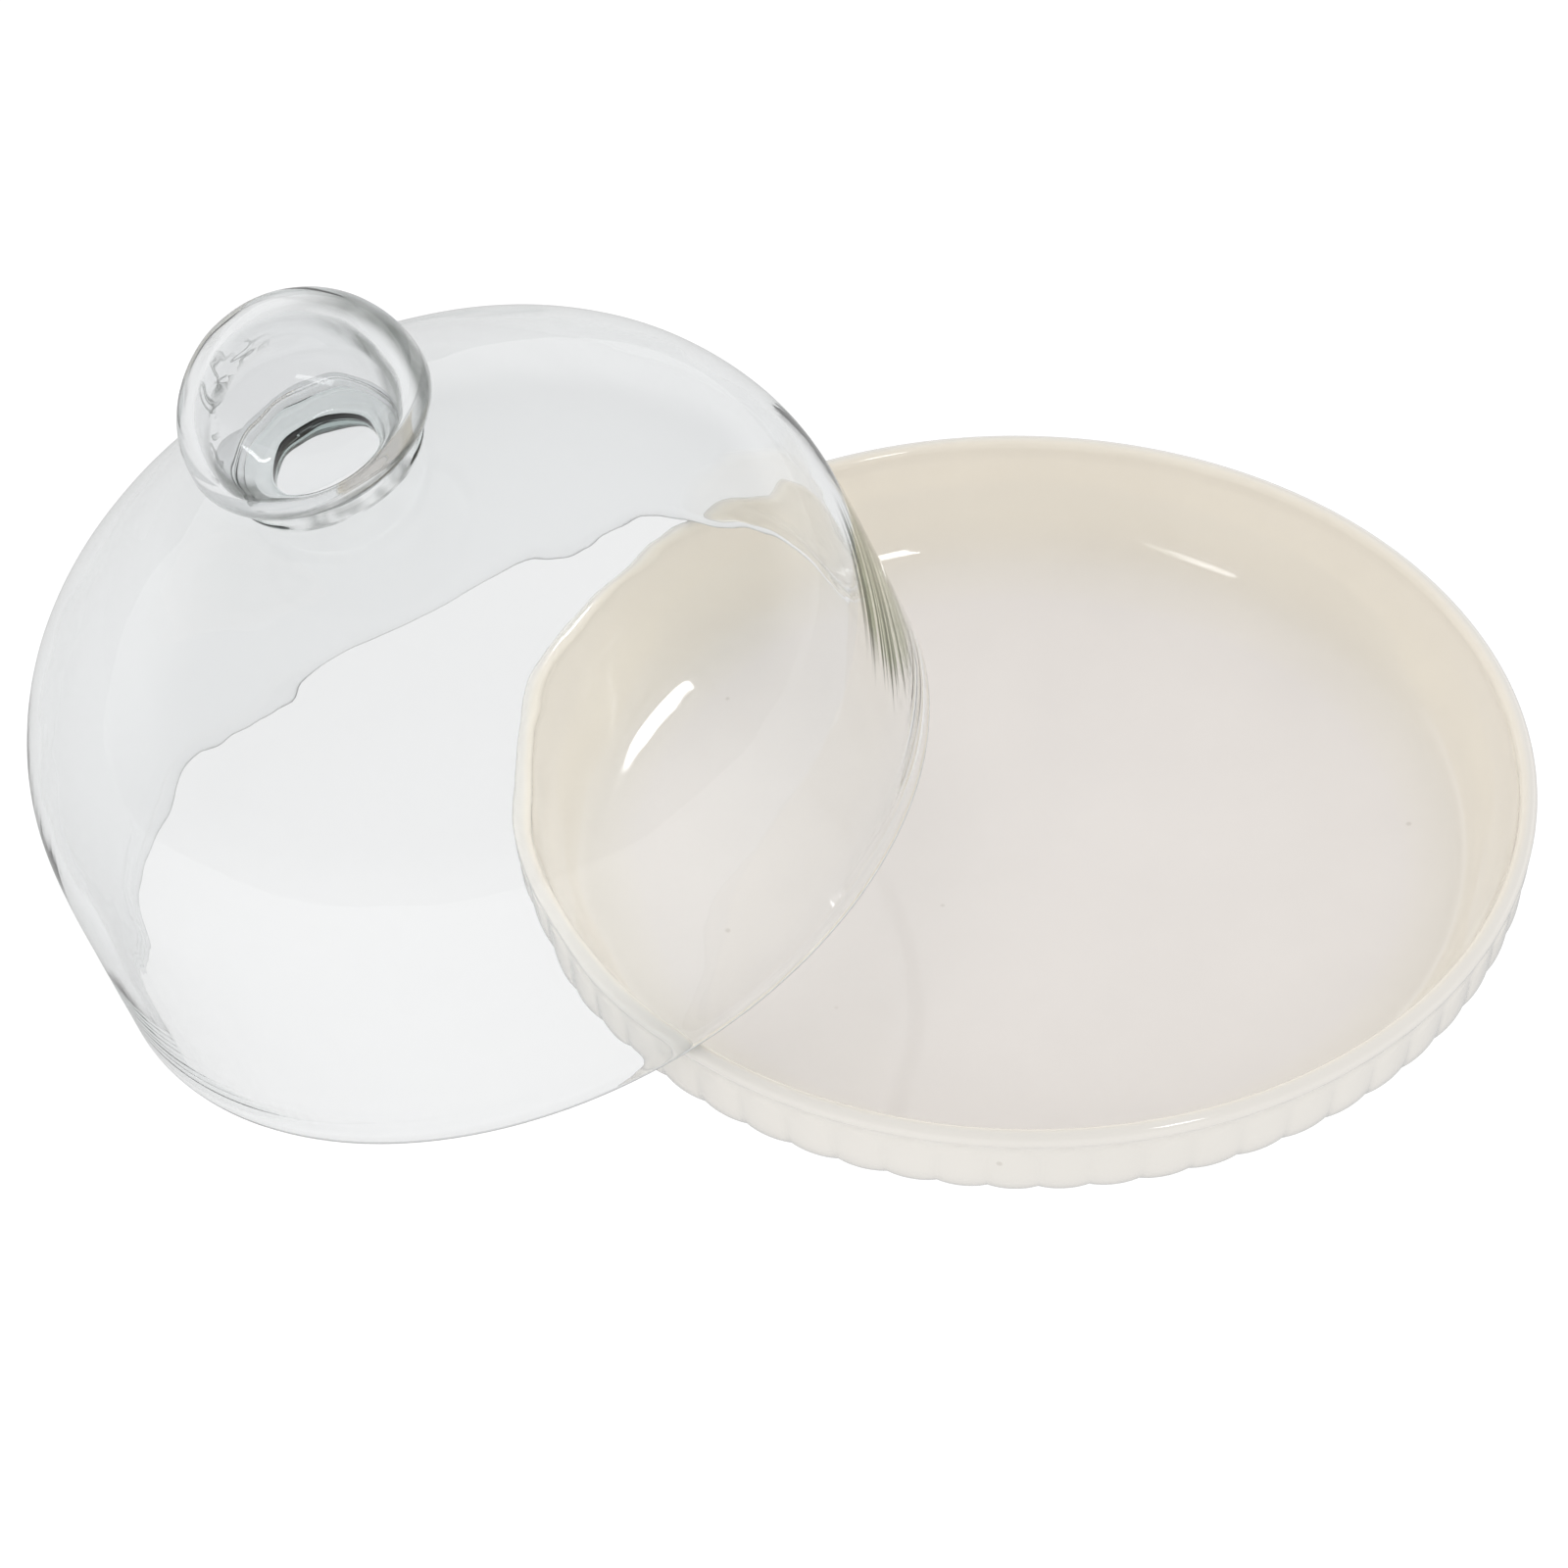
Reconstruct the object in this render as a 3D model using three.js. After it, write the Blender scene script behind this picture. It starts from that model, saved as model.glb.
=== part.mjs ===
// Cake dome: a fluted, footed, glazed ceramic dish and a blown-glass dome with a
// hollow ball knob. The dome is off the dish: its lip stands on the table at one
// side and leans on the dish rim at two points.
// Millimetres, +Z up, table at z = 0, origin under the middle of the whole group.
import * as THREE from 'three';

// ---------------------------------------------------------------- dimensions
// dish
const DISH_R = 102;            // outer radius at the rim
const DISH_H = 41.515;         // rim top above the table
const RIM_TUBE = 1.75;         // half thickness of the rounded rim
const FLOOR_Z = 17.7;          // upper face of the floor
const UNDER_Z = 12.0;          // underside of the floor inside the foot ring
const FOOT_R_OUT = 65.6;       // flat foot ring, outer radius
const FOOT_R_IN = 61.0;        // flat foot ring, inner radius
const FLUTES = 62;             // convex lobes round the outer wall
const FLUTE_DEPTH = 0.6;       // lobe crest to groove
const FLUTE_PHASE = 0.75;      // degrees, angle of the first lobe crest
// dome
const LIP_R = 85.07;           // radius of the lip's centre line
const LIP_TUBE = 1.9;          // half thickness of the fire-polished lip
const BELL_SEAT_T = 101.5;     // flat seat for the knob, along the dome axis
const NECK_HOLE_R = 11.6;      // opening between dome and knob
const BELL_SIDES = 64;
// knob
const BALL_R = 25.15;          // outer radius of the knob
const BALL_T = 113.4;          // height of its widest ring along the dome axis
const BALL_SQUASH = 0.985;     // upper half: height over radius
const BALL_UNDER = 0.477;      // flatter lower half: height over radius
const CAVITY_R = 20.3;         // hollow inside the knob
const CAVITY_T = 114.2;
const NECK_R = 18.6;           // waist between knob and collar
const COLLAR_R = 19.8;         // bulge of the collar under the ball
const JOINT_GAP = 0.3;         // seam between knob and crown
const KNOB_SIDES = 40;
// how the dome leans
const LEAN_DEG = 20.003;       // tilt from upright, towards -X
const LEAN_TURN_DEG = 0.395;   // turn of the leaning direction about Z
const DOME_POS = [-100.0763, -0.6899, 29.2145]; // centre of the lip plane from the dish axis

// ------------------------------------------------------------------- helpers
const TAU = Math.PI * 2;
const rad = (d) => d * Math.PI / 180;

// A closed solid from a stack of rings. A ring is { r, z, n, f }: radius, height,
// number of sides and flute fraction. r = 0 is a point on the axis. Neighbouring
// rings have the same number of sides or a whole multiple of it.
function ringSolid(rings, { loop = false, phase = 0, flutes = 0, depth = 0 } = {}) {
  const pos = [];
  const idx = [];
  const first = [];
  for (const ring of rings) {
    first.push(pos.length / 3);
    if (ring.r === 0) {
      pos.push(0, 0, ring.z);
      continue;
    }
    for (let j = 0; j < ring.n; j++) {
      const a = TAU * j / ring.n;
      const lobe = flutes ? Math.abs(Math.cos(a * flutes / 2)) : 1;
      const r = ring.r - (ring.f || 0) * depth * (1 - lobe);
      pos.push(r * Math.cos(a + phase), r * Math.sin(a + phase), ring.z);
    }
  }
  const strip = (i, k) => {
    const A = rings[i];
    const B = rings[k];
    const a = (j) => first[i] + (A.r === 0 ? 0 : j % A.n);
    const b = (j) => first[k] + (B.r === 0 ? 0 : j % B.n);
    if (A.r === 0) {
      for (let j = 0; j < B.n; j++) idx.push(a(0), b(j + 1), b(j));
    } else if (B.r === 0) {
      for (let j = 0; j < A.n; j++) idx.push(a(j), a(j + 1), b(0));
    } else if (B.n >= A.n) {
      const m = B.n / A.n;
      const half = Math.floor(m / 2);
      for (let j = 0; j < A.n; j++) {
        for (let q = 0; q < m; q++) {
          const near = q < half ? a(j) : a(j + 1);
          idx.push(near, b(j * m + q + 1), b(j * m + q));
        }
        idx.push(a(j), a(j + 1), b(j * m + half));
      }
    } else {
      const m = A.n / B.n;
      const half = Math.floor(m / 2);
      for (let j = 0; j < B.n; j++) {
        for (let q = 0; q < m; q++) {
          const near = q < half ? b(j) : b(j + 1);
          idx.push(a(j * m + q), a(j * m + q + 1), near);
        }
        idx.push(b(j), a(j * m + half), b(j + 1));
      }
    }
  };
  for (let i = 0; i + 1 < rings.length; i++) strip(i, i + 1);
  if (loop) strip(rings.length - 1, 0);
  // outward faces: turn every triangle if the enclosed volume comes out negative
  let vol = 0;
  const v = (i) => new THREE.Vector3(pos[3 * i], pos[3 * i + 1], pos[3 * i + 2]);
  for (let i = 0; i < idx.length; i += 3) {
    vol += v(idx[i]).dot(v(idx[i + 1]).cross(v(idx[i + 2])));
  }
  if (vol < 0) {
    for (let i = 0; i < idx.length; i += 3) [idx[i + 1], idx[i + 2]] = [idx[i + 2], idx[i + 1]];
  }
  const g = new THREE.BufferGeometry();
  g.setAttribute('position', new THREE.Float32BufferAttribute(pos, 3));
  g.setIndex(idx);
  g.computeVertexNormals();
  return g;
}

// Rings along an arc of a circle in the profile plane, angles in degrees.
function arc(cr, cz, radius, from, to, steps, n, squash = 1) {
  const out = [];
  for (let i = 0; i <= steps; i++) {
    const a = rad(from + (to - from) * i / steps);
    out.push({ r: cr + radius * Math.cos(a), z: cz + radius * squash * Math.sin(a), n });
  }
  return out;
}

const ring = (r, z, n, f = 0) => ({ r, z, n, f });

// ---------------------------------------------------------------------- dish
// Underside with a turned foot ring, fluted wall, rounded plain rim, smooth inside.
const C = FLUTES;              // sides of the plain surfaces
const M = FLUTES * 2;          // sides of the rim
const F = FLUTES * 4;          // sides of the fluted wall
const RIM_C = [DISH_R - RIM_TUBE, DISH_H - RIM_TUBE];
const dishRings = [
  ring(0, UNDER_Z, C),
  ring(53.0, UNDER_Z - 0.1, C),
  ring(57.5, UNDER_Z - 0.9, C),
  ring(59.6, 8.5, C),
  ring(FOOT_R_IN - 0.7, 0.9, C),
  ring(FOOT_R_IN, 0, C),
  ring(FOOT_R_OUT, 0, C),
  ring(FOOT_R_OUT + 0.7, 1.0, C),
  ring(66.9, 6.6, C),
  ring(68.5, 9.9, C),
  ring(73.0, 11.5, C),
  ring(82.0, 12.2, C),
  ring(86.0, 13.6, C),
  ring(89.6, 16.1, F, 0.3),
  ring(93.4, 19.1, F, 0.75),
  ring(96.4, 21.9, F, 1),
  ring(98.8, 24.6, F, 1),
  ring(100.3, 27.6, F, 1),
  ring(101.1, 31.4, F, 1),
  ring(101.5, 35.2, F, 0.65),
  ring(101.8, 37.2, F, 0.2),
  ring(DISH_R, 38.2, M),
  ...arc(RIM_C[0], RIM_C[1], RIM_TUBE, 0, 180, 6, M),
  ring(97.7, 36.6, C),
  ring(95.6, 31.2, C),
  ring(92.6, 25.8, C),
  ring(90.2, 22.2, C),
  ring(87.9, 19.6, C),
  ring(85.6, 18.2, C),
  ring(82.5, FLOOR_Z, C),
  ring(0, FLOOR_Z, C),
];
const dishGeometry = ringSolid(dishRings, {
  phase: rad(FLUTE_PHASE), flutes: FLUTES, depth: FLUTE_DEPTH,
});

// ---------------------------------------------------------------------- bell
// Near-straight wall, round shoulder, rising crown that thickens towards a flat seat with a neck hole.
const B = BELL_SIDES;
const bellRings = [
  ...arc(LIP_R, LIP_TUBE, LIP_TUBE, -135, 0, 3, B),
  ring(86.95, 5.4, B),
  ring(86.9, 12.0, B),
  ring(86.7, 24.0, B),
  ring(86.35, 39.4, B),
  ring(85.0, 49.8, B),
  ring(81.85, 58.7, B),
  ring(75.1, 69.6, B),
  ring(65.75, 78.0, B),
  ring(54.5, 85.4, B),
  ring(43.0, 91.7, B),
  ring(32.0, 97.0, B),
  ring(25.5, 99.65, B),
  ring(20.2, BELL_SEAT_T, B),
  ring(NECK_HOLE_R, BELL_SEAT_T, B),
  ring(NECK_HOLE_R, BELL_SEAT_T - 2.6, B),
  ring(13.6, 96.4, B),
  ring(20.5, 93.8, B),
  ring(30.1, 91.4, B),
  ring(40.1, 88.1, B),
  ring(53.3, 81.9, B),
  ring(63.7, 75.1, B),
  ring(72.5, 67.4, B),
  ring(78.9, 57.4, B),
  ring(81.8, 49.0, B),
  ring(83.05, 39.2, B),
  ring(83.5, 24.0, B),
  ring(83.65, 12.0, B),
  ring(83.45, 5.4, B),
  ring(LIP_R - LIP_TUBE, LIP_TUBE, B),
];
const bellGeometry = ringSolid(bellRings, { loop: true });

// ---------------------------------------------------------------------- knob
// Hollow thick-walled ball, flatter below, on a short bulging collar, open below into the dome.
const K = KNOB_SIDES;
const tuck = -Math.acos((NECK_R + 0.4) / BALL_R) * 180 / Math.PI; // where the lower half meets the waist
const FOOT_T = BELL_SEAT_T + JOINT_GAP;
const knobRings = [
  ring(0, BALL_T + BALL_R * BALL_SQUASH, K),
  ...arc(0, BALL_T, BALL_R, 78, 0, 7, K, BALL_SQUASH),
  ...arc(0, BALL_T, BALL_R, tuck / 4, tuck, 3, K, BALL_UNDER),
  ring(NECK_R, 104.9, K),
  ring(COLLAR_R, 103.9, K),
  ring(COLLAR_R, 102.8, K),
  ring(NECK_R + 0.3, FOOT_T, K),
  ring(NECK_HOLE_R, FOOT_T, K),
  ring(12.5, 102.7, K),
  ring(14.0, 103.7, K),
  ring(16.0, 105.3, K),
  ring(17.9, 107.6, K),
  ring(19.4, 110.3, K),
  ...arc(0, CAVITY_T, CAVITY_R, 0, 75, 6, K),
  ring(0, CAVITY_T + CAVITY_R, K),
];
const knobGeometry = ringSolid(knobRings);

// ------------------------------------------------------------------ assembly
const glaze = new THREE.MeshStandardMaterial({ color: 0xe6e0d6, roughness: 0.14, metalness: 0 });
const bellGlass = new THREE.MeshStandardMaterial({
  color: 0xe9eeec, roughness: 0.03, metalness: 0, transparent: true, opacity: 0.35,
});
const knobGlass = new THREE.MeshStandardMaterial({
  color: 0xdfe7e2, roughness: 0.03, metalness: 0, transparent: true, opacity: 0.45,
});

const dish = new THREE.Mesh(dishGeometry, glaze);
dish.name = 'dish';
const bell = new THREE.Mesh(bellGeometry, bellGlass);
bell.name = 'dome_bell';
const knob = new THREE.Mesh(knobGeometry, knobGlass);
knob.name = 'ball_knob';

const dome = new THREE.Group();
dome.add(bell, knob);
dome.rotation.set(0, -rad(LEAN_DEG), rad(LEAN_TURN_DEG), 'ZYX');
dome.position.set(...DOME_POS);

const set = new THREE.Group();
set.add(dish, dome);
set.updateMatrixWorld(true);
const span = new THREE.Box3().setFromObject(set, true);
set.position.x = -(span.min.x + span.max.x) / 2;

const part = new THREE.Group();
part.add(set);
part.updateMatrixWorld(true);

export default part;
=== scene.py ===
import math

import bpy
import numpy as np
from mathutils import Matrix, Vector, noise


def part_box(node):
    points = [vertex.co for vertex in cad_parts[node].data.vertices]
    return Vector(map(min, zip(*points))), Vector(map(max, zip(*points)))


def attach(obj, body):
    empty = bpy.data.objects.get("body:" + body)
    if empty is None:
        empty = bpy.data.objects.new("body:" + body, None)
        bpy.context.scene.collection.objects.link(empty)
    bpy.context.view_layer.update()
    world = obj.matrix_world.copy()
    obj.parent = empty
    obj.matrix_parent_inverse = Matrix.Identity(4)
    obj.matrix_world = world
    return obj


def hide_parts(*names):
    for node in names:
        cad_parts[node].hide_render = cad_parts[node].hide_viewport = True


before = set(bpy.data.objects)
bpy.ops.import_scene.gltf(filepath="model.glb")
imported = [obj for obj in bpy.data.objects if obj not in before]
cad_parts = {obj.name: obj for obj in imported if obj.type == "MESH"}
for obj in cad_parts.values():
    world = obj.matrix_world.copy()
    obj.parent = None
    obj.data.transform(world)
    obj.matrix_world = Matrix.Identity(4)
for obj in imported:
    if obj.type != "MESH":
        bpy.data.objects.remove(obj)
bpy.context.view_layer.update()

MM = 0.001
TAU = 2.0 * math.pi

# ------------------------------------------------------------------ dimensions
# Same numbers as the solids, millimetres. The dish axis comes from its own box.
dish_lo, dish_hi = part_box("dish")
AXIS_X = 500.0 * (dish_lo.x + dish_hi.x)
DISH_R, DISH_H, RIM_TUBE = 102.0, 41.515, 1.75
FLUTES, FLUTE_PHASE = 62, math.radians(0.75)
LEAN, TURN = math.radians(20.003), math.radians(0.395)
DOME_POS = Vector((-100.0763 + AXIS_X, -0.6899, 29.2145))
DOME_ROT = Matrix.Rotation(TURN, 3, "Z") @ Matrix.Rotation(-LEAN, 3, "Y")


# --------------------------------------------------------------------- helpers
def spline(points, count, ends=None):
    """Smooth curve through profile points: cubic in chord length, resampled evenly."""
    p = np.array(points, float)
    s = np.r_[0.0, np.cumsum(np.hypot(*np.diff(p, axis=0).T))]
    n = len(p)
    h = np.diff(s)
    a = np.zeros((n, n))
    b = np.zeros((n, 2))
    for i in range(1, n - 1):
        a[i, i - 1], a[i, i], a[i, i + 1] = h[i - 1], 2 * (h[i - 1] + h[i]), h[i]
        b[i] = 6 * ((p[i + 1] - p[i]) / h[i] - (p[i] - p[i - 1]) / h[i - 1])
    a[0, 0] = a[-1, -1] = 1.0
    if ends is not None:
        for row, tangent, i, sign in ((0, ends[0], 0, 1), (n - 1, ends[1], n - 2, -1)):
            if tangent is None:
                continue
            t = np.array(tangent, float)
            t /= np.linalg.norm(t)
            a[row, :] = 0.0
            if row == 0:
                a[0, 0], a[0, 1] = 2 * h[0], h[0]
                b[0] = 6 * ((p[1] - p[0]) / h[0] - t)
            else:
                a[row, -2], a[row, -1] = h[-1], 2 * h[-1]
                b[row] = 6 * (t - (p[-1] - p[-2]) / h[-1])
    m = np.linalg.solve(a, b)

    def at(x):
        i = np.clip(np.searchsorted(s, x, side="right") - 1, 0, n - 2)
        u, w, hh = (s[i + 1] - x), (x - s[i]), h[i]
        return (
            m[i] * (u**3 / (6 * hh))[:, None]
            + m[i + 1] * (w**3 / (6 * hh))[:, None]
            + (p[i] / hh[:, None] - m[i] * (hh / 6)[:, None]) * u[:, None]
            + (p[i + 1] / hh[:, None] - m[i + 1] * (hh / 6)[:, None]) * w[:, None]
        )

    fine = at(np.linspace(0, s[-1], 40 * n))
    d = np.r_[0.0, np.cumsum(np.hypot(*np.diff(fine, axis=0).T))]
    x = np.interp(np.linspace(0, d[-1], count), d, np.linspace(0, s[-1], 40 * n))
    return at(x)


def arc(cr, cz, radius, start, stop, count, squash=1.0):
    a = np.radians(np.linspace(start, stop, count))
    return np.c_[cr + radius * np.cos(a), cz + radius * squash * np.sin(a)]


def join(*runs):
    """Profile runs end to end, without the doubled points where they meet."""
    out = [np.array(runs[0], float)]
    for run in runs[1:]:
        run = np.array(run, float)
        if np.hypot(*(run[0] - out[-1][-1])) < 0.05:
            run = run[1:]
        out.append(run)
    return np.vstack(out)


def normals(profile):
    """Unit normals of a profile curve, turned right of its direction."""
    t = np.gradient(profile, axis=0)
    t /= np.maximum(np.hypot(t[:, 0], t[:, 1]), 1e-9)[:, None]
    return np.c_[t[:, 1], -t[:, 0]]


def revolve_mesh(name, rings, to_world):
    """Closed mesh from rings (count, sides, 3) in millimetres; first and last ring are points on the axis."""
    rows, sides, _ = rings.shape
    body = rings[1:-1].reshape(-1, 3)
    verts = np.vstack([rings[0].mean(0)[None], body, rings[-1].mean(0)[None]])
    j = np.arange(sides)
    k = (j + 1) % sides
    quads = []
    for i in range(rows - 3):
        a, b = 1 + i * sides, 1 + (i + 1) * sides
        quads.append(np.c_[a + j, b + j, b + k, a + k])
    quads = np.vstack(quads)
    last = 1 + (rows - 3) * sides
    caps = [(0, int(1 + q), int(1 + w)) for q, w in zip(j, k)]
    caps += [(len(verts) - 1, int(last + w), int(last + q)) for q, w in zip(j, k)]
    me = bpy.data.meshes.new(name)
    me.from_pydata([to_world(v) for v in verts], [], quads.tolist() + caps)
    me.update()
    # faces point out: turn them all if the enclosed volume comes out negative
    me.calc_loop_triangles()
    co = np.zeros(len(me.vertices) * 3)
    me.vertices.foreach_get("co", co)
    co = co.reshape(-1, 3)
    tri = np.zeros(len(me.loop_triangles) * 3, np.int32)
    me.loop_triangles.foreach_get("vertices", tri)
    tri = tri.reshape(-1, 3)
    if np.einsum("ij,ij->i", co[tri[:, 0]], np.cross(co[tri[:, 1]], co[tri[:, 2]])).sum() < 0:
        me.flip_normals()
    me.polygons.foreach_set("use_smooth", [True] * len(me.polygons))
    me.update()
    ob = bpy.data.objects.new(name, me)
    bpy.context.scene.collection.objects.link(ob)
    return ob


def fbm(p, octaves=2):
    return noise.fractal(Vector(p), 1.0, 2.0, octaves, noise_basis="PERLIN_ORIGINAL")


# ------------------------------------------------------------------------ dish
SIDES_DISH = FLUTES * 12
UNDER = spline(
    [(0.01, 12.0), (30, 12.0), (50, 11.95), (55.5, 11.6), (58.4, 10.2), (59.4, 7.4), (60.0, 3.0)], 34
)
FOOT = join(
    spline([(60.0, 3.0), (60.25, 1.2), (60.9, 0.25), (61.8, 0.0)], 10),
    [(63.3, 0.0), (64.8, 0.0)],
    spline([(64.8, 0.0), (65.7, 0.25), (66.3, 1.2), (66.6, 4.0), (67.4, 7.8), (69.6, 10.4), (73.5, 11.7), (79, 12.1),
            (83.5, 12.8), (86.9, 14.2), (90.2, 16.6), (93.4, 19.1), (96.4, 21.9), (98.8, 24.6), (100.3, 27.6),
            (101.1, 31.4), (101.5, 35.2), (101.7, 37.4), (101.85, 38.6), (102.0, 39.765)], 96, ends=(None, (0, 1))),
)
RIM = arc(DISH_R - RIM_TUBE, DISH_H - RIM_TUBE, RIM_TUBE, 0, 180, 17)
INSIDE = spline(
    [(98.5, 39.765), (97.75, 36.6), (95.65, 31.2), (92.65, 25.85), (90.25, 22.25), (87.85, 20.05), (84.75, 18.95), (80.2, 18.35),
     (74.0, 17.92), (66.0, 17.72), (50.0, 17.7), (25.0, 17.7), (0.01, 17.7)], 96, ends=((0, -1), (-1, 0))
)
dish_profile = join(UNDER, FOOT, RIM, INSIDE)
dish_normal = normals(dish_profile)


def smooth(a, b, x):
    t = np.clip((x - a) / (b - a), 0.0, 1.0)
    return t * t * (3 - 2 * t)


def build_dish():
    ang = TAU * np.arange(SIDES_DISH) / SIDES_DISH
    u = np.abs(((ang * FLUTES / TAU + 0.5) % 1.0) - 0.5) * 2.0  # 0 on a crest, 1 in a groove
    n_under, n_foot = len(UNDER), len(UNDER) + len(FOOT) - 1
    rings = np.zeros((len(dish_profile), SIDES_DISH, 3))
    for i, (r, z) in enumerate(dish_profile):
        rr = np.full(SIDES_DISH, r)
        zz = np.full(SIDES_DISH, z)
        outer = n_under < i <= n_foot and r > 84
        if outer:
            # convex tongues with round tops; the grooves run out under the wall
            low = smooth(14.0, 21.0, z)
            top = np.clip((z - 33.6) / 4.0, 0.0, 1.0)
            width = math.sqrt(max(1.0 - top * top, 0.0))
            edge = np.clip(u / max(width, 1e-3), 0.0, 1.0)
            fall = np.where(u >= width, 1.0, edge**2.2)
            run = smooth(39.2, 37.4, z)
            cut = 0.6 * low * run * fall
            rr = rr - cut * dish_normal[i, 0]
            zz = zz - cut * dish_normal[i, 1]
        wob = 0.10 * smooth(30, 80, r)
        if wob > 0 and z > 1.0:
            drift = np.array([noise.noise(Vector((2.2 * math.cos(a), 2.2 * math.sin(a), z * 0.03))) for a in ang])
            zz = zz + wob * drift * (1.6 if z > 36 else 0.6)
        rings[i, :, 0] = rr * np.cos(ang + FLUTE_PHASE)
        rings[i, :, 1] = rr * np.sin(ang + FLUTE_PHASE)
        rings[i, :, 2] = zz

    def place(v):
        return ((v[0] + AXIS_X) * MM, v[1] * MM, v[2] * MM)

    return revolve_mesh("ceramic_dish", rings, place)


# ------------------------------------------------------------------ glass dome
SIDES_GLASS = 288
BALL_R, BALL_T, SQUASH, UNDERSIDE = 25.15, 113.4, 0.985, 0.477
CAV_R, CAV_T, CAV_SHIFT = 20.3, 114.2, 1.0
LIP_R, LIP_TUBE = 85.07, 1.9
ball = join(arc(0, BALL_T, BALL_R, 90, 0, 50, SQUASH), arc(0, BALL_T, BALL_R, 0, -41, 18, UNDERSIDE))
ball[0, 0] = 0.01
# a short bulging collar: creased against the ball above and the crown below
collar = arc(18.3, 103.35, 1.55, 68, -72, 22)
outer_wall = spline(
    [collar[-1], (19.6, 101.6), (20.8, 101.25), (22.8, 100.6), (25.5, 99.65), (29.0, 98.3), (36.0, 95.1), (43.0, 91.7), (50.0, 88.0), (57.0, 83.9), (65.75, 78.03), (75.1, 69.6), (81.85, 58.7), (84.97, 49.8),
     (86.35, 39.4), (86.75, 24.0), (86.9, 12.0), (86.92, 6.0), (86.95, 3.4), (86.97, 1.9)], 170,
    ends=((0.94, -0.34), (0, -1)),
)
lip = arc(LIP_R, LIP_TUBE, LIP_TUBE, 0, -180, 15)
inner_wall = spline(
    [(83.17, 1.9), (83.3, 4.0), (83.55, 7.0), (83.65, 12.0), (83.5, 24.0), (83.05, 39.1), (81.75, 49.1), (78.8, 57.5),
     (72.4, 67.4), (63.7, 75.1), (53.3, 81.9), (46.0, 85.5), (40.1, 88.1), (35.0, 89.9), (30.1, 91.4), (25.0, 92.7),
     (20.5, 93.8), (16.6, 95.0), (13.6, 96.4), (12.0, 98.0), (11.6, 99.6)], 150,
    ends=((0, 1), (0, 1)),
)
hole = spline([(11.6, 99.6), (11.6, 101.0), (11.75, 101.9), (12.5, 102.75), (14.0, 103.75), (16.0, 105.4), (17.9, 107.6), (19.4, 110.3),
               (CAV_R, CAV_T)], 34, ends=((0, 1), (0, 1)))
cavity = arc(0, CAV_T, CAV_R, 0, 90, 40)
cavity[-1, 0] = 0.01
glass_profile = join(ball, collar, outer_wall, lip, inner_wall, hole, cavity)
glass_normal = normals(glass_profile)
GLASS_MARKS = np.cumsum([len(ball) + len(collar), len(outer_wall) - 1, len(lip) - 1, len(inner_wall) - 1])


def build_glass():
    ang = TAU * np.arange(SIDES_GLASS) / SIDES_GLASS
    ca, sa = np.cos(ang), np.sin(ang)
    rings = np.zeros((len(glass_profile), SIDES_GLASS, 3))
    for i, (r, t) in enumerate(glass_profile):
        amp_w = amp_s = 0.0
        if i < GLASS_MARKS[0]:
            amp_w, kind = 0.10 * smooth(0, 10, r) * smooth(104.0, 110.0, t), 0
        elif i < GLASS_MARKS[1]:
            amp_w, amp_s, kind = 0.07 * smooth(3, 20, t) * smooth(20, 40, r), 0.012 * smooth(3, 20, t) * smooth(30, 70, r), 1
        elif i < GLASS_MARKS[2]:
            amp_w, kind = 0.03, 2
        elif i < GLASS_MARKS[3]:
            amp_w, amp_s, kind = 0.14 * smooth(3, 20, t), 0.02 * smooth(3, 20, t) * smooth(30, 70, r), 3
        else:
            amp_w, kind = 0.12 * smooth(0, 8, r) * smooth(103.0, 108.0, t), 4
        off = np.zeros(SIDES_GLASS)
        if amp_w or amp_s:
            seed = (0.0, 11.3, 5.1, 23.7, 41.9)[kind]
            wide = 0.045 if kind in (1, 2, 3) else 0.09
            for j in range(SIDES_GLASS):
                x, y = r * ca[j], r * sa[j]
                if amp_w:
                    off[j] += amp_w * fbm((x * wide + seed, y * wide, t * wide * 0.8))
                if amp_s:
                    off[j] += amp_s * fbm((x * 0.16 - seed, y * 0.16, t * 0.035))
        rr = r + off * glass_normal[i, 0]
        tt = t + off * glass_normal[i, 1]
        # the hollow of the ball sits a little off its centre
        shift = CAV_SHIFT * float(smooth(104.5, 112.0, t)) if i >= GLASS_MARKS[3] else 0.0
        rings[i, :, 0], rings[i, :, 1], rings[i, :, 2] = rr * ca - shift, rr * sa, tt

    def place(v):
        p = DOME_POS + DOME_ROT @ Vector(v)
        return (p.x * MM, p.y * MM, p.z * MM)

    return revolve_mesh("glass_dome", rings, place)


# ------------------------------------------------------------------- materials
def new_material(name):
    m = bpy.data.materials.new(name)
    m.use_nodes = True
    nt = m.node_tree
    nt.nodes.clear()
    return m, nt


def add(nt, kind, **props):
    n = nt.nodes.new(kind)
    for k, v in props.items():
        setattr(n, k, v)
    return n


def ramp(nt, stops, interpolation="LINEAR"):
    n = nt.nodes.new("ShaderNodeValToRGB")
    n.color_ramp.interpolation = interpolation
    el = n.color_ramp.elements
    while len(el) > 1:
        el.remove(el[-1])
    el[0].position, el[0].color = stops[0][0], (*stops[0][1], 1)
    for pos, col in stops[1:]:
        e = el.new(pos)
        e.color = (*col, 1)
    return n


def grey(v):
    return (v, v, v)


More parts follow.
